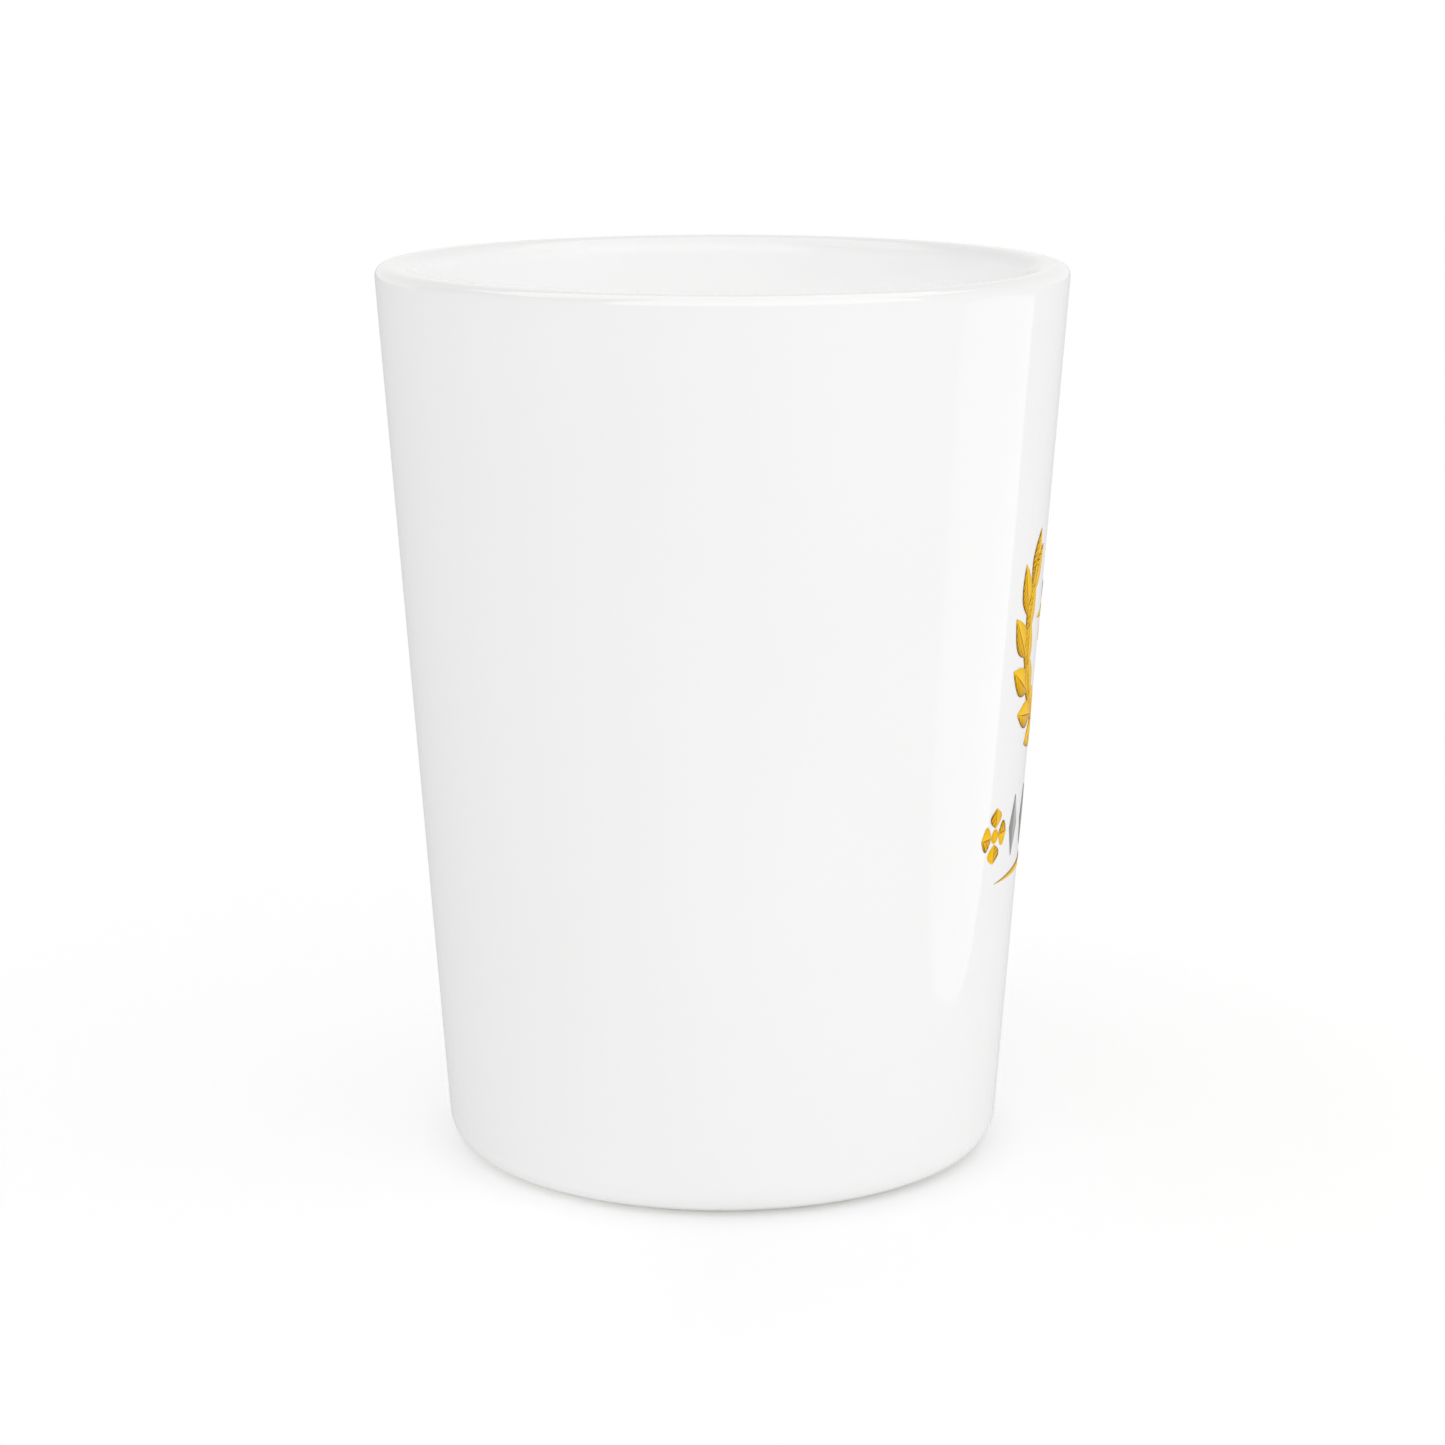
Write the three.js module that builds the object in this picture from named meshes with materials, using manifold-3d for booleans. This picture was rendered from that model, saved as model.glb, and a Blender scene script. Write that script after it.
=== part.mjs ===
// A ceramic shot glass: a fired clay cup under a white glaze, with a two-colour print fused to its front.
// Units are millimetres and +Z is up. The origin is the middle of the foot, on the table, and the print
// faces -Y. Nothing on it moves. Each layer that the potter adds in its own step is a mesh of its own.
import * as THREE from "three";
import { mergeVertices } from "three/addons/utils/BufferGeometryUtils.js";
import Module from "manifold-3d";

const wasm = await Module();
wasm.setup();

// ---------- Driving dimensions ----------

const HEIGHT = 60; // table to rim
const MOUTH_RADIUS = 23; // where the outside wall's line meets the rim's height
const BASE_RADIUS = 18.7; // where the outside wall's line meets the table
const WALL_AT_RIM = 2.5;
const WALL_AT_TABLE = 3.2; // the inside wall's line, carried down to the table
const FLOOR_HEIGHT = 4.5; // table to the inside floor
const LIP_ROUND_OUTSIDE = 0.7;
const LIP_ROUND_INSIDE = 1.2; // softer, where the drinker's lip meets it
const BASE_ROUND = 2.26; // the outside edge under the wall
const FLOOR_ROUND = 5; // the inside corner between wall and floor

const FOOT_RING_INNER = 14.4; // the bare ring that touches the table
const RECESS_DEPTH = 0.8; // the hollow inside the foot ring
const RECESS_SLOPE = 0.5; // how far its side leans in

const GLAZE = 0.2; // thickness of the glaze
const GLAZE_LINE = 0.4; // the glaze is wiped off below this height
const LAYER_GAP = 0.02; // between one layer and the next
const RECESS_GLAZE_MARGIN = 0.4; // bare clay left around the glaze in the recess

const INK = 0.1; // thickness of the print
const INK_LOW = 19;
const INK_HIGH = 47.5;

const SEGMENTS = 64; // facets round the cup, the same on every layer so that they nest
const ARC_STEPS = 3; // facets on each small round
const FLOOR_ARC_STEPS = 5;

// The artwork. u runs to the right along the wall from the middle of the front, and z is the height.
const WREATH = { z: 37, radius: 7.8, start: 262, end: 160, stem: 0.5, leaves: 5 };
const WREATH_LEAF = { length: 4, width: 1.8, splay: 24 };
const STAR = { z: 37, long: 5, short: 2.9, valley: 1.25, points: 8 };
const BAND_Z = 23.3; // the row of lozenges and the rosettes at its ends
const LOZENGE = { width: 1.8, height: 4.2, pitch: 3.3, count: 5 };
const ROSETTE = { u: 10.2, petal: 1.9, width: 1.45, eye: 0.5, petals: 4 };
const UNDERLINE = { z: 19.9, length: 19.2, width: 0.6 };

// ---------- Materials ----------

const material = (color, roughness) =>
  new THREE.MeshStandardMaterial({ color, roughness, metalness: 0 });
const clay = material(0xf3efe6, 0.8);
const glaze = material(0xfbfbfa, 0.08);
const goldInk = material(0xf5b800, 0.2);
const greyInk = material(0x9b9b9b, 0.2);

// ---------- The cup's outline ----------

const degrees = THREE.MathUtils.degToRad;
const outerLean = Math.atan((MOUTH_RADIUS - BASE_RADIUS) / HEIGHT);
const innerMouth = MOUTH_RADIUS - WALL_AT_RIM;
const innerBase = BASE_RADIUS - WALL_AT_TABLE;
const innerLean = Math.atan((innerMouth - innerBase) / HEIGHT);

const outerRadius = (z) => BASE_RADIUS + z * Math.tan(outerLean);
const innerRadius = (z) => innerBase + z * Math.tan(innerLean);

// Points on an arc about (r, z), both ends included.
function arc(r, z, radius, from, to, steps) {
  return Array.from({ length: steps + 1 }, (_, i) => {
    const angle = from + ((to - from) * i) / steps;
    return new THREE.Vector2(r + radius * Math.cos(angle), z + radius * Math.sin(angle));
  });
}

const glazeLineAngle = Math.asin(GLAZE_LINE / BASE_ROUND - 1);
const baseArcRadius = outerRadius(BASE_ROUND) - BASE_ROUND / Math.cos(outerLean);

// The outside edge under the wall, from one angle to another, sunk into the clay by depth.
const baseArc = (from, to, depth) =>
  arc(baseArcRadius, BASE_ROUND, BASE_ROUND - depth, from, to, ARC_STEPS);

// The glazed surface, sunk into the clay by depth: from the glaze line up the outside, over the lip
// and down the inside to the middle of the floor. Every round keeps its centre as it sinks.
function glazedOutline(depth) {
  const outerLipZ = HEIGHT - LIP_ROUND_OUTSIDE;
  const innerLipZ = HEIGHT - LIP_ROUND_INSIDE;
  const floorArcZ = FLOOR_HEIGHT + FLOOR_ROUND;
  const lipOuter = outerRadius(outerLipZ) - LIP_ROUND_OUTSIDE / Math.cos(outerLean);
  const lipInner = innerRadius(innerLipZ) + LIP_ROUND_INSIDE / Math.cos(innerLean);
  const floorArcR = innerRadius(floorArcZ) - FLOOR_ROUND / Math.cos(innerLean);
  const outerLip = LIP_ROUND_OUTSIDE - depth;
  const innerLip = LIP_ROUND_INSIDE - depth;
  return [
    ...baseArc(glazeLineAngle, -outerLean, depth),
    ...arc(lipOuter, outerLipZ, outerLip, -outerLean, degrees(90), ARC_STEPS),
    ...arc(lipInner, innerLipZ, innerLip, degrees(90), Math.PI - innerLean, ARC_STEPS),
    ...arc(floorArcR, floorArcZ, FLOOR_ROUND + depth, -innerLean, degrees(-90), FLOOR_ARC_STEPS),
    new THREE.Vector2(0, FLOOR_HEIGHT - depth),
  ];
}

// A profile of (radius, height) points turned about the cup's axis.
function turned(profile) {
  return new THREE.LatheGeometry(profile, SEGMENTS).rotateX(Math.PI / 2);
}

// ---------- The cup's layers ----------

function clayBody() {
  const ceiling = RECESS_DEPTH + GLAZE + LAYER_GAP;
  return turned([
    new THREE.Vector2(0, ceiling),
    new THREE.Vector2(FOOT_RING_INNER - RECESS_SLOPE, ceiling),
    new THREE.Vector2(FOOT_RING_INNER, 0),
    ...baseArc(degrees(-90), glazeLineAngle, 0),
    ...glazedOutline(GLAZE + LAYER_GAP),
  ]);
}

function glazeShell() {
  return turned([...glazedOutline(GLAZE).reverse(), ...glazedOutline(0)]);
}

function recessGlaze() {
  const radius = FOOT_RING_INNER - RECESS_SLOPE - RECESS_GLAZE_MARGIN;
  return turned([
    new THREE.Vector2(0, RECESS_DEPTH),
    new THREE.Vector2(radius, RECESS_DEPTH),
    new THREE.Vector2(radius, RECESS_DEPTH + GLAZE),
    new THREE.Vector2(0, RECESS_DEPTH + GLAZE),
  ]);
}

// ---------- Outlines of the artwork, flat, as lists of [u, z] ----------

// A lens with a point at each end, from [0, 0] to [length, 0].
function lens(length, width, steps) {
  const side = (i, sign) => {
    const t = i / steps;
    return [length * t, (sign * width * Math.sin(Math.PI * t)) / 2];
  };
  const indices = Array.from({ length: steps }, (_, i) => i);
  return [...indices.map((i) => side(i, -1)), ...indices.map((i) => side(steps - i, 1))];
}

// The outline turned by an angle in degrees and moved to (u, z).
function placed(outline, u, z, angle) {
  const c = Math.cos(degrees(angle));
  const s = Math.sin(degrees(angle));
  return outline.map(([a, b]) => [u + a * c - b * s, z + a * s + b * c]);
}

const mirrored = (outline) => outline.map(([u, z]) => [-u, z]).reverse();

function polygon(count, radiusOf) {
  return Array.from({ length: count }, (_, i) => {
    const angle = (2 * Math.PI * i) / count;
    return [radiusOf(i) * Math.cos(angle), radiusOf(i) * Math.sin(angle)];
  });
}

// The left half of the wreath: a curved stem, leaves that spring from its two sides in turn, and one
// leaf at its tip.
function wreathSprig() {
  const { z, radius, start, end, stem, leaves } = WREATH;
  const at = (angle, r) => [r * Math.cos(degrees(angle)), z + r * Math.sin(degrees(angle))];
  const along = (t) => start + (end - start) * t;
  const edge = (r) => Array.from({ length: leaves + 1 }, (_, i) => at(along(i / leaves), r));
  const leaf = lens(WREATH_LEAF.length, WREATH_LEAF.width, 4);
  const leafAt = (t, splay) => placed(leaf, ...at(along(t), radius), along(t) - 90 + splay);
  const outlines = [[...edge(radius - stem / 2).reverse(), ...edge(radius + stem / 2)]];
  for (let i = 0; i < leaves; i += 1) {
    outlines.push(leafAt((i + 0.2) / leaves, WREATH_LEAF.splay));
    outlines.push(leafAt((i + 0.7) / leaves, -WREATH_LEAF.splay));
  }
  outlines.push(leafAt(1 - 0.1 / leaves, 0));
  return outlines;
}

function star() {
  const radii = [STAR.long, STAR.valley, STAR.short, STAR.valley];
  return [placed(polygon(2 * STAR.points, (i) => radii[i % radii.length]), 0, STAR.z, 0)];
}

function rosette(side) {
  const petal = lens(ROSETTE.petal, ROSETTE.width, 4);
  const eye = polygon(12, () => ROSETTE.eye);
  const turns = Array.from({ length: ROSETTE.petals }, (_, i) => (360 * i) / ROSETTE.petals);
  return [
    placed(eye, side * ROSETTE.u, BAND_Z, 0),
    ...turns.map((turn) => placed(petal, side * ROSETTE.u, BAND_Z, turn)),
  ];
}

function lozenge(index) {
  const u = (index - (LOZENGE.count + 1) / 2) * LOZENGE.pitch;
  const corners = [LOZENGE.width / 2, LOZENGE.height / 2];
  return [placed(polygon(4, (i) => corners[i % 2]), u, BAND_Z, 0)];
}

function underline() {
  const { z, length, width } = UNDERLINE;
  return [placed(lens(length, width, 16), -length / 2, z, 0)];
}

// ---------- Wrapping the artwork onto the wall ----------

function solidOf(geometry) {
  const bare = geometry.clone();
  bare.deleteAttribute("normal");
  bare.deleteAttribute("uv");
  const merged = mergeVertices(bare);
  return new wasm.Manifold(
    new wasm.Mesh({
      numProp: 3,
      vertProperties: merged.attributes.position.array,
      triVerts: new Uint32Array(merged.index.array),
    }),
  );
}

function geometryOf(solid) {
  const mesh = solid.getMesh();
  const geometry = new THREE.BufferGeometry();
  geometry.setAttribute("position", new THREE.BufferAttribute(mesh.vertProperties, 3));
  geometry.setIndex(new THREE.BufferAttribute(mesh.triVerts, 1));
  return geometry;
}

// A thin ring that hugs the glazed wall, with facets that match the cup's.
const inkRing = (() => {
  const lift = LAYER_GAP / Math.cos(outerLean);
  const corner = (z, out) => new THREE.Vector2(outerRadius(z) + lift + out, z);
  return solidOf(
    turned([
      corner(INK_LOW, 0),
      corner(INK_LOW, INK),
      corner(INK_HIGH, INK),
      corner(INK_HIGH, 0),
      corner(INK_LOW, 0),
    ]),
  );
})();

// A flat outline as a prism that reaches from the axis out through the front of the wall.
function prism(outline) {
  const shape = new THREE.Shape(
    outline.map(([u, z]) => {
      const radius = outerRadius(z);
      return new THREE.Vector2(radius * Math.sin(u / radius), z);
    }),
  );
  const depth = 2 * MOUTH_RADIUS;
  return solidOf(new THREE.ExtrudeGeometry(shape, { depth, bevelEnabled: false }).rotateX(Math.PI / 2));
}

function printed(outlines) {
  const block = outlines.map(prism).reduce((all, next) => all.add(next));
  return geometryOf(inkRing.intersect(block));
}

// ---------- The assembly ----------

const shotGlass = new THREE.Group();

function addPiece(name, geometry, pieceMaterial) {
  const mesh = new THREE.Mesh(geometry, pieceMaterial);
  mesh.name = name;
  shotGlass.add(mesh);
}

addPiece("clay_body", clayBody(), clay);
addPiece("glaze_shell", glazeShell(), glaze);
addPiece("foot_recess_glaze", recessGlaze(), glaze);
addPiece("print_sprig_left", printed(wreathSprig()), goldInk);
addPiece("print_sprig_right", printed(wreathSprig().map(mirrored)), goldInk);
addPiece("print_star", printed(star()), goldInk);
addPiece("print_rosette_left", printed(rosette(-1)), goldInk);
addPiece("print_rosette_right", printed(rosette(1)), goldInk);
for (let index = 1; index <= LOZENGE.count; index += 1) {
  addPiece(`print_lozenge_${index}`, printed(lozenge(index)), greyInk);
}
addPiece("print_underline", printed(underline()), goldInk);

export default shotGlass;
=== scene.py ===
# %% [markdown]
# # A ceramic shot glass
# The real object is one fired piece. A potter shapes a thin clay cup, dips it in white glaze, wipes
# the foot clean so that it doesn't stick in the kiln, and a decorator fuses a gold and grey print to
# its front. This lesson builds those layers in the same order: the bare clay, the glaze over it, the
# pool of glaze under the foot, and the print. Everything is in metres, with +Z up, the foot on the
# table at the origin and the print facing -Y.
#
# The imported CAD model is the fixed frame. The sizes that it knows are read from it, so that nothing
# is fitted afterwards.

# %% Load the frame
import math

import bpy
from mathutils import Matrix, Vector


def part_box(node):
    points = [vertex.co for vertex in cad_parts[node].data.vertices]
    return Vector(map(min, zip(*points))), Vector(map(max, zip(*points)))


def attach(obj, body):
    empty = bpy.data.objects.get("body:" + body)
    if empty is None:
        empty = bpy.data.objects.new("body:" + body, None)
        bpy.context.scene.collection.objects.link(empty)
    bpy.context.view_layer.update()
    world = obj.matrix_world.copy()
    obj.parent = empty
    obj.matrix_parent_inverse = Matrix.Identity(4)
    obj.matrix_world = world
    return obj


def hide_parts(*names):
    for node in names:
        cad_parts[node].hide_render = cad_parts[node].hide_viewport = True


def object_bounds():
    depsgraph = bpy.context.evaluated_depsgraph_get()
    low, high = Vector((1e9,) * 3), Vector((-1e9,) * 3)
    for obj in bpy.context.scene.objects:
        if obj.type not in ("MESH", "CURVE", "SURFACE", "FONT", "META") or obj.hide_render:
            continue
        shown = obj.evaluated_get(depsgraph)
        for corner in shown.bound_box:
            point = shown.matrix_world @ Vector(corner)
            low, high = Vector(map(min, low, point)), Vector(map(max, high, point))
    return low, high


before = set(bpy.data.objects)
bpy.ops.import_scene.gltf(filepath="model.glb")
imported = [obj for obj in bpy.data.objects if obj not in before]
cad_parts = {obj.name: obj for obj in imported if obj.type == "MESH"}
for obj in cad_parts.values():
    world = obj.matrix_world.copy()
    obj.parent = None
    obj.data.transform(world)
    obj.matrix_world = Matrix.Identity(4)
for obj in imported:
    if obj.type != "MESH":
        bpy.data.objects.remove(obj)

cad_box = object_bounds()
MM = 0.001
print("CAD box in mm:", [[round(value / MM, 2) for value in corner] for corner in cad_box])

# %% [markdown]
# ## Sizes
# The frame gives the height, the widest reach of the lip, where the glaze stops above the foot and
# how deep the recess under the foot is. The rest are the potter's choices, which can't be read off a
# box: how far the wall leans, how thick it is, and how round each edge is.

# %% Read the sizes
glaze_low, glaze_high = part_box("glaze_shell")
pool_low, pool_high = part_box("foot_recess_glaze")

height = cad_box[1].z
glaze_line = glaze_low.z
recess_depth = pool_low.z
glaze_depth = pool_high.z - pool_low.z

wall_lean = math.radians(4.1)
wall_at_rim = 2.5 * MM
wall_at_table = 3.2 * MM
floor_height = 4.5 * MM
lip_round_outside = 0.7 * MM
lip_round_inside = 1.2 * MM
base_round = 2.26 * MM
floor_round = 5.0 * MM

mouth_radius = glaze_high.x + lip_round_outside * (math.tan(wall_lean) + 1 / math.cos(wall_lean) - 1)
base_radius = mouth_radius - height * math.tan(wall_lean)
inner_mouth = mouth_radius - wall_at_rim
inner_base = base_radius - wall_at_table
inner_lean = math.atan((inner_mouth - inner_base) / height)
print(f"mouth {mouth_radius / MM:.2f} mm, base {base_radius / MM:.2f} mm, glaze {glaze_depth / MM:.2f} mm")

# %% [markdown]
# ## Small helpers for node trees
# A node tree built by script is mostly three moves: make a node, set its options, and link or set its
# inputs. One helper does all three, so that a tree reads like a list of steps. The next ones do sums,
# take vectors apart and put them together, and print how large a finished tree is.

# %% Helpers for nodes
def add(tree, kind, inputs=None, **options):
    """Makes a node. A value in inputs is a socket to link from, or a plain value to set."""
    node = tree.nodes.new(kind)
    for option, value in options.items():
        setattr(node, option, value)
    for socket, value in (inputs or {}).items():
        if isinstance(value, bpy.types.NodeSocket):
            tree.links.new(value, node.inputs[socket])
        else:
            node.inputs[socket].default_value = value
    return node


def calc(tree, operation, *values):
    """One Math node, and its result."""
    return add(tree, "ShaderNodeMath", dict(enumerate(values)), operation=operation).outputs[0]


def split_xyz(tree, vector):
    """A vector's X, Y and Z, by name."""
    return add(tree, "ShaderNodeSeparateXYZ", {"Vector": vector}).outputs


def join_xyz(tree, **values):
    """A vector made of its X, Y and Z. One that isn't given is 0."""
    return add(tree, "ShaderNodeCombineXYZ", values).outputs[0]


def tell(name, tree):
    print(f"{name}: {len(tree.nodes)} nodes, {len(tree.links)} links")


# %% [markdown]
# Some steps come back in most geometry trees: asking where a point is or what its number is, putting
# points somewhere else, moving a whole shape, and welding points that coincide.

# %% Helpers for geometry trees
def point_place(tree):
    return add(tree, "GeometryNodeInputPosition").outputs[0]


def point_number(tree):
    return add(tree, "GeometryNodeInputIndex").outputs[0]


def placed(tree, geometry, place):
    """The geometry with each of its points put at its own place."""
    return add(tree, "GeometryNodeSetPosition", {"Geometry": geometry, "Position": place}).outputs[0]


def shifted(tree, geometry, offset):
    return add(tree, "GeometryNodeTransform", {"Geometry": geometry, "Translation": offset}).outputs[0]


def joined(tree, *parts):
    join = add(tree, "GeometryNodeJoinGeometry")
    for part in parts:
        tree.links.new(part, join.inputs[0])
    return join.outputs[0]


def welded(tree, geometry, reach):
    """The geometry with points closer than reach made one."""
    return add(tree, "GeometryNodeMergeByDistance", {"Geometry": geometry, "Distance": reach}).outputs[0]


def geometry_tree(name, sockets):
    """A Geometry Nodes tree with named inputs, such as {"Length": "Float"}. Returns it and its inputs."""
    tree = bpy.data.node_groups.new(name, "GeometryNodeTree")
    for label, kind in {"Geometry": "Geometry", **sockets}.items():
        tree.interface.new_socket(label, in_out="INPUT", socket_type="NodeSocket" + kind)
    tree.interface.new_socket("Geometry", in_out="OUTPUT", socket_type="NodeSocketGeometry")
    return tree, add(tree, "NodeGroupInput").outputs


def end_tree(tree, geometry, given):
    """Ends a tree the way a finished piece needs: real geometry, smooth, in its own material."""
    real = add(tree, "GeometryNodeRealizeInstances", {"Geometry": geometry}).outputs[0]
    smooth = add(tree, "GeometryNodeSetShadeSmooth", {"Geometry": real}).outputs[0]
    painted = add(tree, "GeometryNodeSetMaterial", {"Geometry": smooth, "Material": given["Material"]})
    add(tree, "NodeGroupOutput", {"Geometry": painted.outputs[0]})
    tell(tree.name, tree)


# %% [markdown]
# A tree works as a modifier. Its inputs are set by each socket's identifier before anything is
# evaluated, then the result is turned into a plain mesh and the modifier goes away, so that what is
# left is an ordinary object at the origin with its place in its mesh.

# %% Helper that runs a tree
def volume(mesh):
    """The volume inside a closed mesh. It is negative if the faces point inwards."""
    mesh.calc_loop_triangles()
    corners = [[mesh.vertices[i].co for i in triangle.vertices] for triangle in mesh.loop_triangles]
    return sum(a.dot(b.cross(c)) for a, b, c in corners) / 6


def grow(name, tree, values, start=None):
    """An object whose mesh is what the tree makes of the start mesh."""
    piece = bpy.data.objects.new(name, start or bpy.data.meshes.new(name))
    bpy.context.scene.collection.objects.link(piece)
    modifier = piece.modifiers.new(tree.name, "NODES")
    modifier.node_group = tree
    for item in tree.interface.items_tree:
        if item.in_out == "INPUT" and item.name in values:
            modifier[item.identifier] = values[item.name]
    bpy.context.view_layer.update()
    depsgraph = bpy.context.evaluated_depsgraph_get()
    made = bpy.data.meshes.new_from_object(piece.evaluated_get(depsgraph), depsgraph=depsgraph)
    piece.modifiers.clear()
    piece.data = made
    made.name = name
    made.materials.clear()
    made.materials.append(values["Material"])
    made.polygons.foreach_set("material_index", [0] * len(made.polygons))
    made.calc_loop_triangles()
    bpy.context.view_layer.update()
    size = [round(value / MM, 2) for value in piece.dimensions]
    print(f"{name}: {len(made.loop_triangles)} triangles, {size} mm, volume {volume(made) / MM**3:.1f} mm3")
    return piece


def stand_in(piece, slot, *nodes):
    """The piece takes the place of those CAD nodes: it hangs from the root, and they are hidden. slot is
    not used.
    """
    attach(piece, "root")
    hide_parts(*nodes)


# %% [markdown]
# ## The cup's outline
# A thrown or jiggered cup is a turned shape, so all that describes it is half of its section: a list
# of points, each a distance from the axis and a height. Only straight runs and arcs are needed. The
# long walls still get a row of points every few millimetres, because a smooth-shaded wall with no
# rows would bend its reflections towards the rounded edges at its ends.

# %% Arcs and straight runs
def arc(centre, radius, start, stop, steps):
    """Points on an arc about centre, from one angle to another, both ends included."""
    angles = [start + (stop - start) * step / steps for step in range(steps + 1)]
    return [centre + radius * Vector((math.cos(angle), math.sin(angle))) for angle in angles]


def run(start, stop, steps):
    """Points inside a straight run, both ends left out."""
    return [start.lerp(stop, step / steps) for step in range(1, steps)]


def outer_radius(z):
    return base_radius + z * math.tan(wall_lean)


def inner_radius(z):
    return inner_base + z * math.tan(inner_lean)


# %% [markdown]
# The glazed surface and the clay just under it are the same outline at two depths. Sinking an outline
# keeps the centre of every round and only changes its radius, so one function gives both.

# %% The glazed outline at any depth
QUARTER = math.radians(90)
WALL_STEPS = 24
LIP_STEPS = 8
BASE_STEPS = 14
FLOOR_STEPS = 14
MIDDLE_STEPS = 8


def arc_centre(z, radius_at, inset):
    return Vector((radius_at(z) + inset, z))


def base_arc(depth, start, rise=0.0):
    """The round under the wall. rise lifts its underside, so that glaze thins towards the foot."""
    centre = arc_centre(base_round, outer_radius, -base_round / math.cos(wall_lean))
    centre.y -= rise
    return arc(centre, base_round - depth, start, -wall_lean, BASE_STEPS)


def cup_outline(depth, base):
    """From the end of the base's round up the outside, over the lip and down to the inside floor."""
    round_z = floor_height + floor_round
    outer_lip = arc_centre(height - lip_round_outside, outer_radius,
                           -lip_round_outside / math.cos(wall_lean))
    inner_lip = arc_centre(height - lip_round_inside, inner_radius,
                           lip_round_inside / math.cos(inner_lean))
    corner = arc_centre(round_z, inner_radius, -floor_round / math.cos(inner_lean))
    lip_out = arc(outer_lip, lip_round_outside - depth, -wall_lean, QUARTER, LIP_STEPS)
    lip_in = arc(inner_lip, lip_round_inside - depth, QUARTER, 2 * QUARTER - inner_lean, LIP_STEPS)
    round_in = arc(corner, floor_round + depth, -inner_lean, -QUARTER, FLOOR_STEPS)
    middle = Vector((0, floor_height - depth))
    points = base + run(base[-1], lip_out[0], WALL_STEPS) + lip_out + run(lip_out[-1], lip_in[0], 3)
    points += lip_in + run(lip_in[-1], round_in[0], WALL_STEPS) + round_in
    return points + run(round_in[-1], middle, MIDDLE_STEPS) + [middle]


glaze_start = math.asin(glaze_line / base_round - 1)
outside = cup_outline(0, base_arc(0, glaze_start))
print(f"the glazed outline has {len(outside)} points")

# %% [markdown]
# ## Turning an outline into a cup
# Blender has a Spin tool and a Screw modifier. A Geometry Nodes tree does the same job as a rule that
# can be read: a grid gets one column for each step round the axis and one row for each point of the
# outline, and every point of the grid looks up its place on the outline and turns about the axis. The
# outline can also carry a vector called slip on each point. Noise that runs round the axis slides the
# point along it, which gives a wiped edge of glaze its hand-made waver.

# %% The turning tree
wheel, given = geometry_tree("turn_on_the_wheel", {
    "Steps Round": "Int", "Waver": "Float", "Seed": "Int", "Material": "Material"})
rows = add(wheel, "GeometryNodeAttributeDomainSize", {"Geometry": given["Geometry"]}).outputs["Point Count"]
columns = calc(wheel, "ADD", given["Steps Round"], 1)
grid = add(wheel, "GeometryNodeMeshGrid", {"Vertices X": columns, "Vertices Y": rows}).outputs["Mesh"]
index = point_number(wheel)
row = calc(wheel, "MODULO", index, rows)
column = calc(wheel, "FLOOR", calc(wheel, "DIVIDE", index, rows))
angle = calc(wheel, "DIVIDE", calc(wheel, "MULTIPLY", column, math.tau), given["Steps Round"])


def outline_value(value):
    """What the outline's point for this row holds."""
    sources = {"Geometry": given["Geometry"], "Value": value, "Index": row}
    return add(wheel, "GeometryNodeSampleIndex", sources, data_type="FLOAT_VECTOR").outputs[0]


def turn(arm):
    """A vector turned about the axis, to its column's angle."""
    spin = {"Vector": arm, "Angle": angle}
    return add(wheel, "ShaderNodeVectorRotate", spin, rotation_type="Z_AXIS").outputs[0]


place = outline_value(point_place(wheel))
slip = add(wheel, "GeometryNodeInputNamedAttribute", {"Name": "slip"}, data_type="FLOAT_VECTOR")
slide = outline_value(slip.outputs["Attribute"])
round_the_axis = {"Vector": turn(join_xyz(wheel, X=1.0)), "W": given["Seed"], "Scale": 3.0, "Detail": 3.0}
noise = add(wheel, "ShaderNodeTexNoise", round_the_axis, noise_dimensions="4D")
amount = calc(wheel, "MULTIPLY", calc(wheel, "SUBTRACT", noise.outputs[0], 0.5), given["Waver"])
slid = add(wheel, "ShaderNodeVectorMath", {"Vector": slide, "Scale": amount}, operation="SCALE")
both = add(wheel, "ShaderNodeVectorMath", {0: place, 1: slid.outputs[0]}, operation="ADD")
turned = placed(wheel, grid, turn(both.outputs[0]))
end_tree(wheel, welded(wheel, turned, 0.002 * MM), given)


# %% [markdown]
# The outline goes in as a mesh of points joined by edges, with the slip on each point. Slip follows
# the outline's own direction, so that a sliding edge stays on the surface under it.

# %% Helper that makes an outline mesh
def outline_mesh(name, points, slips=None):
    """A mesh of the outline's points in the XZ plane. slips gives the slip of some of its points."""
    mesh = bpy.data.meshes.new(name)
    edges = [(step, step + 1) for step in range(len(points) - 1)]
    mesh.from_pydata([(point.x, 0, point.y) for point in points], edges, [])
    slip_layer = mesh.attributes.new("slip", "FLOAT_VECTOR", "POINT")
    for step, vector in (slips or {}).items():
        slip_layer.data[step].vector = (vector.x, 0, vector.y)
    return mesh


# %% [markdown]
# ## Helpers for finishes
# Every finish is a Principled shader whose colour, roughness and bump come from patterns in object
# coordinates, so that the pattern sits still on the surface. Pattern sizes are given in millimetres,
# as they would be measured on the cup.

# %% Helpers for materials
def material_tree(name):
    """A new material, its tree, and its shader."""
    material = bpy.data.materials.new(name)
    material.use_nodes = True
    tree = material.node_tree
    return material, tree, tree.nodes["Principled BSDF"]


def object_place(tree):
    return add(tree, "ShaderNodeTexCoord").outputs["Object"]


def from_the_axis(tree, place):
    """A place with its height left out, and how far that is from the cup's axis."""
    flat = add(tree, "ShaderNodeVectorMath", {0: place, 1: (1, 1, 0)}, operation="MULTIPLY").outputs[0]
    return flat, add(tree, "ShaderNodeVectorMath", {0: flat}, operation="LENGTH").outputs["Value"]


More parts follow.
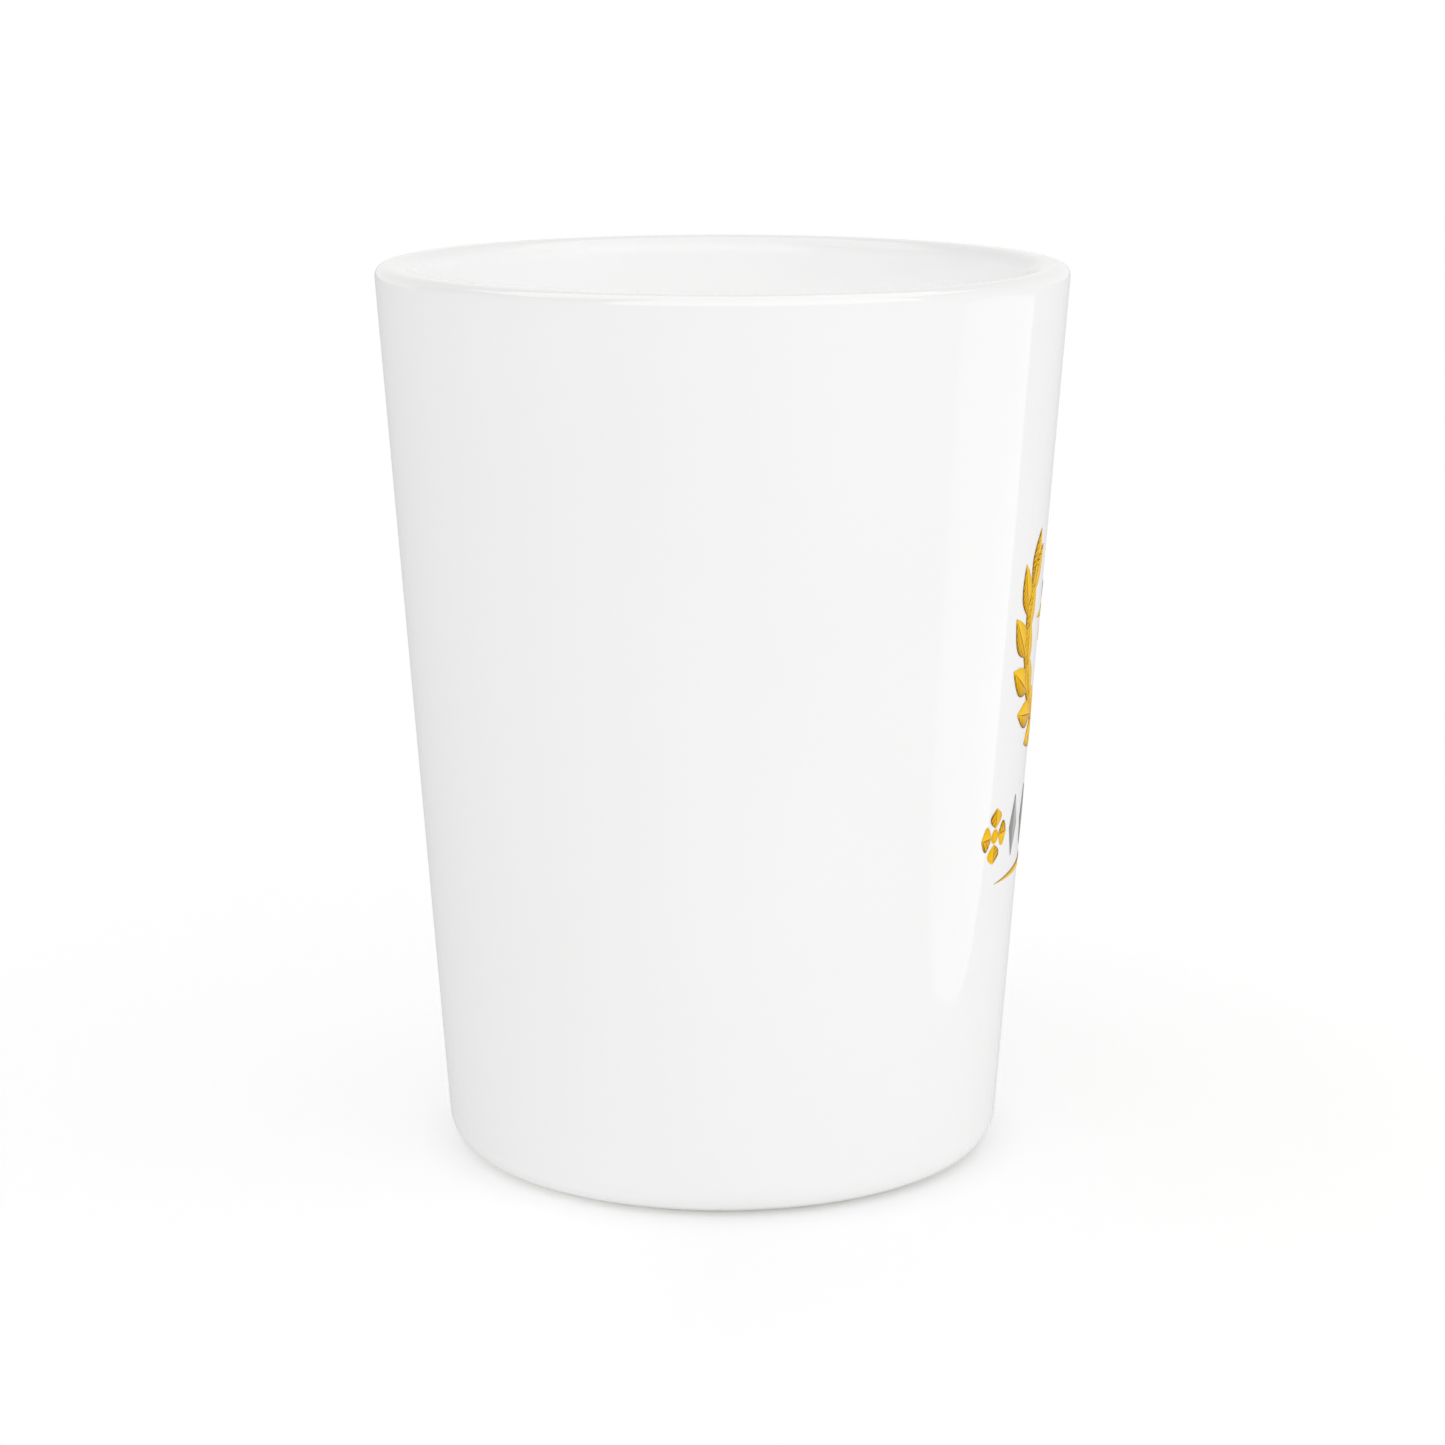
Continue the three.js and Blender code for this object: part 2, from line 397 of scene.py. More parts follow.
def mottle(tree, place, size_mm, detail=3.0):
    """Soft noise whose patches are about size_mm across, from 0 to 1."""
    noise = {"Vector": place, "Scale": 1 / (size_mm * MM), "Detail": detail}
    return add(tree, "ShaderNodeTexNoise", noise).outputs[0]


def remap(tree, value, low, high, to_low, to_high):
    """Moves a value from one range to another, and stops at the ends."""
    ranges = {"Value": value, "From Min": low, "From Max": high, "To Min": to_low, "To Max": to_high}
    return add(tree, "ShaderNodeMapRange", ranges).outputs[0]


def blend(tree, share, first, second):
    """One colour turning into another as share goes from 0 to 1."""
    colours = {"Factor": share, 6: first, 7: second}
    return add(tree, "ShaderNodeMix", colours, data_type="RGBA").outputs[2]


def bump(tree, heights, depth_mm, under=None):
    """A bump of that depth, on top of another one if given."""
    sources = {"Height": heights, "Distance": depth_mm * MM, "Strength": 1.0}
    if under is not None:
        sources["Normal"] = under
    return add(tree, "ShaderNodeBump", sources).outputs[0]


def set_inputs(tree, shader, values):
    for socket, value in values.items():
        if isinstance(value, bpy.types.NodeSocket):
            tree.links.new(value, shader.inputs[socket])
        else:
            shader.inputs[socket].default_value = value


# %% [markdown]
# ## Bare clay
# Where the glaze is wiped off, the fired clay shows: a dry, warm white with a fine sandy grain and a
# few darker specks of iron. The ring that touches the table is scuffed a little greyer from being put
# down, so the grey is masked to the lowest tenth of a millimetre.

# %% Material: fired clay
clay, tree, shader = material_tree("fired_clay")
place = object_place(tree)
grain = mottle(tree, place, 0.25, 6.0)
cloud = mottle(tree, place, 6.0)
clay_colour = blend(tree, cloud, (0.82, 0.805, 0.77, 1), (0.87, 0.86, 0.835, 1))
specks = add(tree, "ShaderNodeTexVoronoi", {"Vector": place, "Scale": 1 / (1.4 * MM)})
speck = remap(tree, specks.outputs["Distance"], 0.05, 0.09, 0.5, 0.0)
clay_colour = blend(tree, speck, clay_colour, (0.42, 0.33, 0.25, 1))
z = split_xyz(tree, place)["Z"]
touching = remap(tree, z, 0.03 * MM, 0.12 * MM, 1.0, 0.0)
scuff = calc(tree, "MULTIPLY", touching, remap(tree, mottle(tree, place, 1.2, 5.0), 0.42, 0.62, 0.0, 0.55))
set_inputs(tree, shader, {
    "Base Color": blend(tree, scuff, clay_colour, (0.5, 0.49, 0.47, 1)),
    "Roughness": remap(tree, grain, 0.3, 0.7, 0.62, 0.86),
    "Normal": bump(tree, grain, 0.03),
    "Specular IOR Level": 0.35,
})
tell(clay.name, tree)

# %% [markdown]
# ## White glaze
# A fired glaze is glass: very smooth, with sharp reflections, over a white that is never quite even.
# Its colour drifts by a percent over a few centimetres, it pulls thin and lets a trace of warm clay
# through on the sharp edge of the lip, and its surface has a slight swell that bends reflections, plus
# a rare pinhole. All of these are kept faint, because on a clean new cup they are. The coat is poured
# out of the bowl, so it is thinner there and mirrors a little less than outside. How far a point lies
# inwards from the slanting outer wall tells the two apart.

# %% Material: white glaze
glaze, tree, shader = material_tree("white_glaze")
place = object_place(tree)
z = split_xyz(tree, place)["Z"]
flat, away = from_the_axis(tree, place)
wall = calc(tree, "ADD", calc(tree, "MULTIPLY", z, math.tan(wall_lean)), base_radius)
in_bowl = remap(tree, calc(tree, "SUBTRACT", wall, away), 0.7 * MM, 1.3 * MM, 0.0, 1.0)
drift = mottle(tree, place, 18.0, 2.0)
white = blend(tree, drift, (0.905, 0.905, 0.90, 1), (0.93, 0.93, 0.93, 1))
lip = remap(tree, z, height - 0.5 * MM, height, 0.0, 1.0)
thin = calc(tree, "MULTIPLY", lip, remap(tree, mottle(tree, place, 4.0), 0.35, 0.65, 0.1, 0.5))
white = blend(tree, thin, white, (0.90, 0.885, 0.85, 1))
swell = mottle(tree, place, 7.0, 1.0)
peel = mottle(tree, place, 1.1, 2.0)
pits = add(tree, "ShaderNodeTexVoronoi", {"Vector": place, "Scale": 1 / (4.5 * MM)})
pit = remap(tree, pits.outputs["Distance"], 0.012, 0.03, 0.0, 1.0)
surface = bump(tree, swell, 0.012)
surface = bump(tree, peel, 0.0006, surface)
set_inputs(tree, shader, {
    "Base Color": white,
    "Roughness": calc(tree, "ADD", remap(tree, mottle(tree, place, 3.0, 4.0), 0.3, 0.7, 0.015, 0.045),
                      calc(tree, "MULTIPLY", in_bowl, 0.1)),
    "Specular IOR Level": remap(tree, in_bowl, 0.0, 1.0, 0.5, 0.22),
    "Normal": bump(tree, pit, 0.01, surface),
    "IOR": 1.52,
})
tell(glaze.name, tree)

# %% [markdown]
# ## The clay cup
# The clay's outline starts at the middle of the recess under the foot, goes down the recess's side to
# the ring that stands on the table, and then follows the glazed outline a hair deeper than the glaze,
# so that the two never touch. Its base round reaches the table, while the glaze's stays above it, so
# the glaze gets thinner towards its line, as it does when a potter wipes a foot. Every outward corner
# is an arc, because clay has no sharp edges.

# %% Build the clay cup
STEPS_ROUND = 256
FIT = 0.004 * MM
ring_inner = 14.4 * MM
recess_slope = 0.5 * MM
ring_round = 0.3 * MM
recess_ceiling = recess_depth + glaze_depth
under_glaze = glaze_depth + FIT

slope_angle = math.atan2(recess_ceiling, recess_slope)
ceiling_edge = Vector((ring_inner - recess_slope, recess_ceiling))
ring_edge = Vector((ring_inner, 0))
ring_centre = ring_edge + Vector((ring_round * math.tan(slope_angle / 2), ring_round))
ring_arc = arc(ring_centre, ring_round, 2 * QUARTER + (QUARTER - slope_angle), 3 * QUARTER, 6)
clay_base = base_arc(under_glaze, -QUARTER, rise=under_glaze)
clay_points = [Vector((0, recess_ceiling))]
clay_points += run(clay_points[0], ceiling_edge, 10) + [ceiling_edge]
clay_points += run(ceiling_edge, ring_arc[0], 4) + ring_arc
clay_points += run(ring_arc[-1], clay_base[0], 5)
clay_points += cup_outline(under_glaze, clay_base)
clay_cup = grow("clay_cup", wheel, {"Steps Round": STEPS_ROUND, "Waver": 0.0, "Material": clay},
                outline_mesh("clay_outline", clay_points))
stand_in(clay_cup, "fired_clay", "clay_body")

# %% [markdown]
# ## The glaze over it
# The glaze is a closed skin: the glazed outline on the outside, and the same outline at the glaze's
# depth on the inside. A Solidify modifier could thicken one surface, but it would give the wiped edge
# a square end. The lower edge waves a little along the base's round, so the last few points there get
# a slip that fades out upwards.

# %% Build the glaze
inside = cup_outline(glaze_depth, base_arc(glaze_depth, glaze_start, rise=glaze_depth))
inside.reverse()
edge = len(inside)
WAVING = 8
slips = {}
for step in range(WAVING):
    fade = (1 - step / WAVING) ** 2
    along = (outside[step + 1] - outside[step]).normalized()
    slips[edge + step] = along * fade
    slips[edge - 1 - step] = along * fade
wiped = {"Steps Round": STEPS_ROUND, "Waver": 0.5 * MM, "Seed": 3, "Material": glaze}
glaze_coat = grow("glaze_coat", wheel, wiped, outline_mesh("glaze_outline", inside + outside, slips))
stand_in(glaze_coat, "white_glaze", "glaze_shell")

# %% [markdown]
# ## The pool of glaze under the foot
# Glaze left in the recess melts into a flat pool with a rounded edge that stops just short of the
# recess's side. It is turned on the same wheel, with a stronger waver at its edge.

# %% Build the pool
pool_radius = pool_high.x
pool_round = glaze_depth / 2
pool_centre = Vector((pool_radius - pool_round, recess_depth + pool_round))
pool_edge = arc(pool_centre, pool_round - FIT / 2, -QUARTER, QUARTER, 6)
pool_bottom = Vector((0, pool_edge[0].y))
pool_top = Vector((0, pool_edge[-1].y))
pool_points = [pool_bottom] + run(pool_bottom, pool_edge[0], 12) + pool_edge
pool_points += run(pool_edge[-1], pool_top, 12) + [pool_top]
pool_slips = {step: Vector((1, 0)) for step, point in enumerate(pool_points)
              if point.x > pool_centre.x - FIT}
melted = {"Steps Round": 192, "Waver": 0.7 * MM, "Seed": 8, "Material": glaze}
pool = grow("foot_pool", wheel, melted, outline_mesh("pool_outline", pool_points, pool_slips))
stand_in(pool, "white_glaze", "foot_recess_glaze")

# %% [markdown]
# ## The print: one blade shape for everything
# The decoration is a wreath round a star, over a row of lozenges between two rosettes, with a
# swelling line below. Drawn by hand they look different, but a leaf, a petal, a star's ray, a lozenge
# and the line are all one shape: a blade with a point at each end, widest at its belly, with straight
# or round sides. So one flat tree makes the blade, and the rest only say where the blades go. It
# marks one side of the midrib as shaded and stores each point's place on the blade, for the ink.

# %% The blade tree
blade, given = geometry_tree("blade", {
    "Length": "Float", "Width": "Float", "Belly": "Float", "Roundness": "Float", "Steps": "Int"})
columns = calc(blade, "ADD", given["Steps"], 1)
grid = add(blade, "GeometryNodeMeshGrid", {"Vertices X": columns, "Vertices Y": 3}).outputs["Mesh"]
index = point_number(blade)
side = calc(blade, "SUBTRACT", calc(blade, "MODULO", index, 3), 1)
share = calc(blade, "DIVIDE", calc(blade, "FLOOR", calc(blade, "DIVIDE", index, 3)), given["Steps"])
to_belly = calc(blade, "MINIMUM", calc(blade, "DIVIDE", share, given["Belly"]), 1)
past = calc(blade, "DIVIDE", calc(blade, "SUBTRACT", share, given["Belly"]),
            calc(blade, "SUBTRACT", 1, given["Belly"]))
swell = calc(blade, "SUBTRACT", to_belly, calc(blade, "MAXIMUM", past, 0))
round_swell = calc(blade, "SINE", calc(blade, "MULTIPLY", swell, math.pi / 2))
shape = add(blade, "ShaderNodeMix", {0: given["Roundness"], 2: swell, 3: round_swell}).outputs[0]
reach = calc(blade, "MULTIPLY", calc(blade, "MULTIPLY", given["Width"], 0.5), shape)
along = calc(blade, "MULTIPLY", share, given["Length"])
shaped = placed(blade, grid, join_xyz(blade, X=along, Y=calc(blade, "MULTIPLY", side, reach)))
across = split_xyz(blade, point_place(blade))["Y"]
marked = add(blade, "GeometryNodeStoreNamedAttribute", {
    "Geometry": shaped, "Name": "on_blade", "Value": join_xyz(blade, X=along, Y=across, Z=side)},
    data_type="FLOAT_VECTOR")
halved = add(blade, "GeometryNodeStoreNamedAttribute", {
    "Geometry": marked.outputs[0], "Name": "shaded", "Value": calc(blade, "GREATER_THAN", across, 0)},
    data_type="FLOAT", domain="FACE")
add(blade, "NodeGroupOutput", {"Geometry": welded(blade, halved.outputs[0], 0.001 * MM)})
tell(blade.name, blade)

# %% [markdown]
# ## Fusing a flat drawing to the wall
# A decorator prints the drawing flat and wraps it round the cup. The tree does the same: it gives the
# flat drawing the ink's thickness, and then rolls it up. The drawing's width is measured along the
# wall, so dividing it by the wall's radius at that height gives the angle round the cup, and nothing
# is stretched.

# %% The wrapping tree
WALL_SOCKETS = {"Base Radius": "Float", "Wall Slope": "Float", "Lift": "Float", "Thickness": "Float"}
wrap, given = geometry_tree("fuse_to_wall", WALL_SOCKETS)
raised = add(wrap, "GeometryNodeExtrudeMesh", {
    "Mesh": given["Geometry"], "Offset": (0, 0, 1), "Offset Scale": given["Thickness"],
    "Individual": False})
underside = add(wrap, "GeometryNodeFlipFaces", {"Mesh": given["Geometry"]})
closed = joined(wrap, raised.outputs["Mesh"], underside.outputs[0])
flat_place = split_xyz(wrap, point_place(wrap))
widening = calc(wrap, "MULTIPLY", flat_place["Y"], given["Wall Slope"])
wall = calc(wrap, "ADD", given["Base Radius"], widening)
angle = calc(wrap, "DIVIDE", flat_place["X"], wall)
reach = calc(wrap, "ADD", calc(wrap, "ADD", wall, given["Lift"]), flat_place["Z"])
sideways = calc(wrap, "MULTIPLY", reach, calc(wrap, "SINE", angle))
forwards = calc(wrap, "MULTIPLY", reach, calc(wrap, "MULTIPLY", calc(wrap, "COSINE", angle), -1))
on_wall = join_xyz(wrap, X=sideways, Y=forwards, Z=flat_place["Y"])
add(wrap, "NodeGroupOutput", {"Geometry": placed(wrap, welded(wrap, closed, 0.0005 * MM), on_wall)})
tell(wrap.name, wrap)

PRINT_SOCKETS = {**WALL_SOCKETS, "Centre Along": "Float", "Centre Height": "Float", "Material": "Material"}
on_the_wall = {"Base Radius": base_radius, "Wall Slope": math.tan(wall_lean), "Lift": 0.008 * MM,
               "Thickness": 0.025 * MM}


def blades(tree, **sizes):
    """A blade made inside a larger tree."""
    return add(tree, "GeometryNodeGroup", sizes, node_tree=blade).outputs[0]


def turned_copies(tree, points, shape, angle, chosen=True):
    """A copy of the shape at each chosen point, turned in the drawing's plane."""
    turns = add(tree, "FunctionNodeEulerToRotation", {0: join_xyz(tree, Z=angle)}).outputs[0]
    return add(tree, "GeometryNodeInstanceOnPoints", {
        "Points": points, "Instance": shape, "Rotation": turns, "Selection": chosen}).outputs[0]


def end_print(tree, flat, given):
    """Moves the flat drawing to its place, fuses it to the wall and ends the tree."""
    real = add(tree, "GeometryNodeRealizeInstances", {"Geometry": flat}).outputs[0]
    moved = shifted(tree, real, join_xyz(tree, X=given["Centre Along"], Y=given["Centre Height"]))
    sizes = {"Geometry": welded(tree, moved, 0.001 * MM), **{label: given[label] for label in WALL_SOCKETS}}
    end_tree(tree, add(tree, "GeometryNodeGroup", sizes, node_tree=wrap).outputs[0], given)


# %% [markdown]
# ## Inks
# Both inks are ceramic colours fused onto the glaze. They are smooth but not as glassy as the glaze
# round them. The gold is a warm yellow that deepens towards one end of each blade, and its shaded
# side is drawn as an engraver would draw it, with fine brown lines over a darker gold. The grey has a
# light and a dark side only. Both get a trace of the uneven density that a transfer print has.

# %% Helpers for inks
def blade_marks(tree):
    """What the blade tree stored. X is along the blade, Y across it and Z the share of the way to its
    edge, and the second value is 1 on its shaded side."""
    on_blade = add(tree, "ShaderNodeAttribute", attribute_name="on_blade").outputs["Vector"]
    shaded = add(tree, "ShaderNodeAttribute", attribute_name="shaded").outputs["Fac"]
    return split_xyz(tree, on_blade), shaded


def ink_surface(tree, shader, colour):
    """The uneven density of a transfer print, and its satin skin."""
    density = mottle(tree, object_place(tree), 0.5, 4.0)
    set_inputs(tree, shader, {
        "Base Color": blend(tree, remap(tree, density, 0.4, 0.75, 0.0, 0.06), colour, (0.9, 0.8, 0.6, 1)),
        "Roughness": remap(tree, density, 0.3, 0.7, 0.28, 0.42),
        "Normal": bump(tree, density, 0.002),
        "Specular IOR Level": 0.02,
    })


# %% [markdown]
# The brown lines could be cut into the mesh, but they are finer than a blade's own points. A wave in
# the shader draws them instead. It repeats along the blade, it slants because a share of the distance
# across is added to it, and its lines get wider towards the edge. One line along the midrib and one
# along the rim close the drawing.

# %% Material: gold ink
gold, tree, shader = material_tree("gold_ink")
on_blade, shaded = blade_marks(tree)
deepen = remap(tree, on_blade["X"], 0.0, 4.0 * MM, 1.0, 0.0)
yellow = blend(tree, deepen, (1.0, 0.62, 0.004, 1), (0.95, 0.54, 0.002, 1))
darker = blend(tree, deepen, (0.94, 0.54, 0.002, 1), (0.82, 0.43, 0.001, 1))
HATCH_PITCH = 0.4 * MM
HATCH_SLANT = 0.6
slant = calc(tree, "ADD", on_blade["X"], calc(tree, "MULTIPLY", on_blade["Y"], HATCH_SLANT))
stripe = calc(tree, "PINGPONG", calc(tree, "DIVIDE", slant, HATCH_PITCH), 0.5)
fine = remap(tree, on_blade["Z"], 0.2, 0.9, 0.02, 0.2)
hatch = remap(tree, calc(tree, "SUBTRACT", stripe, fine), 0.0, 0.05, 1.0, 0.0)
rib = remap(tree, on_blade["Z"], 0.06, 0.16, 1.0, 0.0)
rim = remap(tree, on_blade["Z"], 0.84, 0.94, 0.0, 1.0)
lines = calc(tree, "MULTIPLY", shaded, calc(tree, "MAXIMUM", hatch, calc(tree, "MAXIMUM", rib, rim)))
two_tone = blend(tree, shaded, yellow, darker)
ink_surface(tree, shader, blend(tree, lines, two_tone, (0.33, 0.145, 0.001, 1)))
tell(gold.name, tree)

# %% [markdown]
# The grey lozenges look like cut stones, without lines. The light half of each gets lighter towards
# its upper end, and the other half is one darker grey.

# %% Material: grey ink
grey, tree, shader = material_tree("grey_ink")
on_blade, shaded = blade_marks(tree)
fade = remap(tree, on_blade["X"], 0.0, 4.2 * MM, 0.0, 1.0)
light_grey = blend(tree, fade, (0.40, 0.40, 0.40, 1), (0.56, 0.56, 0.56, 1))
ink_surface(tree, shader, blend(tree, shaded, light_grey, (0.33, 0.33, 0.33, 1)))
tell(grey.name, tree)

# %% [markdown]
# ## The wreath
# Each half of the wreath is a stem bent round an arc, with leaves that spring from its two sides in
# turn and one at its tip. The tree bends a long thin blade for the stem, puts points along the same
# arc for the leaves, and turns each leaf to the arc's direction plus or minus its splay. Running the
# same tree from the other end angle gives the other half, so the halves mirror each other.

# %% The sprig tree
sprig, given = geometry_tree("leafy_sprig", {
    "Radius": "Float", "Start": "Float", "End": "Float", "Leaf Pairs": "Int", "Leaf Length": "Float",
    "Leaf Width": "Float", "Splay": "Float", "Stem Width": "Float", **PRINT_SOCKETS})
sweep = calc(sprig, "SUBTRACT", given["End"], given["Start"])
way = calc(sprig, "SIGN", sweep)


def on_arc(radius, angle):
    """A point of the drawing at that radius and angle from the wreath's middle."""
    return join_xyz(sprig, X=calc(sprig, "MULTIPLY", radius, calc(sprig, "COSINE", angle)),
                    Y=calc(sprig, "MULTIPLY", radius, calc(sprig, "SINE", angle)))


stem_length = calc(sprig, "MULTIPLY", calc(sprig, "ABSOLUTE", sweep), given["Radius"])
stem = blades(sprig, Length=stem_length, Width=given["Stem Width"], Belly=0.35, Roundness=1.0, Steps=72)
straight = split_xyz(sprig, point_place(sprig))
stem_turn = calc(sprig, "MULTIPLY", way, calc(sprig, "DIVIDE", straight["X"], given["Radius"]))
stem_radius = calc(sprig, "SUBTRACT", given["Radius"], calc(sprig, "MULTIPLY", way, straight["Y"]))
stem = placed(sprig, stem, on_arc(stem_radius, calc(sprig, "ADD", given["Start"], stem_turn)))

leaves = calc(sprig, "MULTIPLY", given["Leaf Pairs"], 2)
number = point_number(sprig)
share = calc(sprig, "DIVIDE", calc(sprig, "ADD", number, 0.4), leaves)
share = calc(sprig, "MINIMUM", share, calc(sprig, "SUBTRACT", 1, calc(sprig, "DIVIDE", 0.2, leaves)))
leaf_angle = calc(sprig, "ADD", given["Start"], calc(sprig, "MULTIPLY", sweep, share))
line = add(sprig, "GeometryNodeMeshLine", {"Count": calc(sprig, "ADD", leaves, 1)}).outputs[0]
points = placed(sprig, line, on_arc(given["Radius"], leaf_angle))
outer_or_inner = calc(sprig, "SUBTRACT", 1, calc(sprig, "MULTIPLY", calc(sprig, "MODULO", number, 2), 2))
not_tip = calc(sprig, "LESS_THAN", number, leaves)
splay = calc(sprig, "MULTIPLY", given["Splay"], calc(sprig, "MULTIPLY", outer_or_inner, not_tip))
leaf_turn = calc(sprig, "MULTIPLY", way, calc(sprig, "SUBTRACT", QUARTER, splay))
LEAF_LIFT = 0.006 * MM
leaf = blades(sprig, Length=given["Leaf Length"], Width=given["Leaf Width"], Belly=0.45,
              Roundness=0.9, Steps=16)
raised_leaf = shifted(sprig, leaf, (0, 0, LEAF_LIFT))
sprays = turned_copies(sprig, points, raised_leaf, calc(sprig, "ADD", leaf_angle, leaf_turn))
end_print(sprig, joined(sprig, stem, sprays), given)

# %% [markdown]
# Each half starts 8 degrees from the bottom of the circle and ends 20 degrees above its middle, which
# leaves the wreath open at the top. Both halves use the gold ink.

# %% Build the wreath
WREATH_HEIGHT = 37 * MM
wreath = {**on_the_wall, "Radius": 7.8 * MM, "Leaf Pairs": 5, "Leaf Length": 4.0 * MM,
          "Leaf Width": 1.9 * MM, "Splay": math.radians(24), "Stem Width": 0.7 * MM,
          "Centre Height": WREATH_HEIGHT, "Material": gold}
for side, start, end in (("left", 262, 160), ("right", -82, 20)):
    angles = {"Start": math.radians(start), "End": math.radians(end)}
    piece = grow("wreath_sprig_" + side, sprig, {**wreath, **angles})
    stand_in(piece, "gold_ink", "print_sprig_" + side)

# %% [markdown]
# ## The star and the rosettes
# A compass star is eight blades round a point, long and short in turn. Each blade is widest where it
# meets its neighbours, so they share edges and leave no gap. A rosette is four round petals with a
# gap in the middle for an eye. One tree makes both.

# %% The tree for blades round a point
ring, given = geometry_tree("blades_round_a_point", {
    "Count": "Int", "Long": "Float", "Short": "Float", "Width": "Float", "Belly Out": "Float",
    "Roundness": "Float", "Gap": "Float", "Eye": "Float", **PRINT_SOCKETS})
points = add(ring, "GeometryNodeMeshLine", {"Count": given["Count"], "Offset": (0, 0, 0)}).outputs[0]
number = point_number(ring)
angle = calc(ring, "DIVIDE", calc(ring, "MULTIPLY", number, math.tau), given["Count"])
odd = calc(ring, "MODULO", number, 2)
from_middle = join_xyz(ring, X=given["Gap"])
rays = []
for label, chosen in (("Long", calc(ring, "LESS_THAN", odd, 0.5)), ("Short", odd)):
    belly = calc(ring, "DIVIDE", given["Belly Out"], given[label])
    ray = blades(ring, Length=given[label], Width=given["Width"], Belly=belly,
                 Roundness=given["Roundness"], Steps=24)
    rays.append(turned_copies(ring, points, shifted(ring, ray, from_middle), angle, chosen))
round_eye = {"Vertices": 32, "Radius": given["Eye"]}
eye = add(ring, "GeometryNodeMeshCircle", round_eye, fill_type="TRIANGLE_FAN")
has_eye = calc(ring, "GREATER_THAN", given["Eye"], 0)
eye = add(ring, "GeometryNodeSwitch", {"Switch": has_eye, "True": eye.outputs[0]}).outputs[0]
end_print(ring, joined(ring, *rays, eye), given)

# %% [markdown]
# The star's blades are widest at the valley between two rays, which lies half of the angle between
# them off each ray's own line, so their width and their belly follow from how far out it is. Petals
# are free of each other, so their sizes are chosen directly.

# %% Build the star and the rosettes
STAR_VALLEY = 1.25 * MM
BAND_HEIGHT = 23.3 * MM
half_ray = math.pi / 8
star = grow("compass_star", ring, {
    **on_the_wall, "Count": 8, "Long": 5.0 * MM, "Short": 2.9 * MM,
    "Width": 2 * STAR_VALLEY * math.sin(half_ray), "Belly Out": STAR_VALLEY * math.cos(half_ray),
    "Centre Height": WREATH_HEIGHT, "Material": gold})
stand_in(star, "gold_ink", "print_star")
for side, way in (("left", -1), ("right", 1)):
    rosette = grow("rosette_" + side, ring, {
        **on_the_wall, "Count": 4, "Long": 1.35 * MM, "Short": 1.35 * MM, "Width": 1.7 * MM,
        "Belly Out": 0.7 * MM, "Roundness": 1.0, "Gap": 0.55 * MM, "Eye": 0.48 * MM,
        "Centre Along": way * 10.2 * MM, "Centre Height": BAND_HEIGHT, "Material": gold})
    stand_in(rosette, "gold_ink", "print_rosette_" + side)

# %% [markdown]
# ## The row of lozenges and the line
# The lozenges are straight-sided blades that stand on end at an even pitch. The line under them is
# one long blade, so thin that it only swells a little at its middle.

# %% The row tree
row_of_blades, given = geometry_tree("row_of_blades", {
    "Count": "Int", "Pitch": "Float", "Length": "Float", "Width": "Float", "Roundness": "Float",
    "Steps": "Int", "Turn": "Float", **PRINT_SOCKETS})
first = calc(row_of_blades, "MULTIPLY", calc(row_of_blades, "SUBTRACT", given["Count"], 1), -0.5)
place_in_row = calc(row_of_blades, "ADD", first, point_number(row_of_blades))
spacing = join_xyz(row_of_blades, X=calc(row_of_blades, "MULTIPLY", place_in_row, given["Pitch"]))
line = add(row_of_blades, "GeometryNodeMeshLine", {"Count": given["Count"]}).outputs[0]
one = blades(row_of_blades, Length=given["Length"], Width=given["Width"], Belly=0.5,
             Roundness=given["Roundness"], Steps=given["Steps"])
half_back = join_xyz(row_of_blades, X=calc(row_of_blades, "MULTIPLY", given["Length"], -0.5))
centred = shifted(row_of_blades, one, half_back)
row = turned_copies(row_of_blades, placed(row_of_blades, line, spacing), centred, given["Turn"])
end_print(row_of_blades, row, given)

# %% [markdown]
# Five lozenges stand between the rosettes, each turned by a quarter to stand on end. The line is a row
# of one, and isn't turned.

# %% Build the row and the line
LOZENGES = 5
lozenges = grow("lozenge_row", row_of_blades, {
    **on_the_wall, "Count": LOZENGES, "Pitch": 3.3 * MM, "Length": 4.2 * MM, "Width": 1.8 * MM, "Steps": 12,
    "Turn": QUARTER, "Centre Height": BAND_HEIGHT, "Material": grey})
stand_in(lozenges, "grey_ink", *[f"print_lozenge_{number}" for number in range(1, LOZENGES + 1)])
underline = grow("swelling_line", row_of_blades, {
    **on_the_wall, "Count": 1, "Length": 19.2 * MM, "Width": 0.6 * MM, "Roundness": 1.0, "Steps": 64,
    "Centre Height": 19.9 * MM, "Material": gold})
stand_in(underline, "gold_ink", "print_underline")

# %% [markdown]
# ## The floor
# The cup stands on a plain white floor that runs far out of view, so that it shows no edge. Its own
# faint glow stands in for a second lamp and lifts the floor to the white of the room. The cup's soft
# shadow is painted into that glow: it is turned down close to the foot, and on the cup's bright side,
# where a second lamp's shadows would fall. Reflections skip the floor, because the cup should mirror
# the lit room and not a grey plane.

# %% Floor
def stage_piece(name, vertices, faces, colour, roughness, glow):
    """A mesh that belongs to the studio and not to the cup."""
    mesh = bpy.data.meshes.new(name)
    mesh.from_pydata(vertices, [], faces)
    piece = bpy.data.objects.new(name, mesh)
    bpy.context.scene.collection.objects.link(piece)
    paint, tree, shader = material_tree(name + "_paint")
    set_inputs(tree, shader, {"Base Color": colour, "Roughness": roughness, "Specular IOR Level": 0.0,
                              "Emission Color": (1, 1, 1, 1), "Emission Strength": glow})
    mesh.materials.append(paint)
    return piece


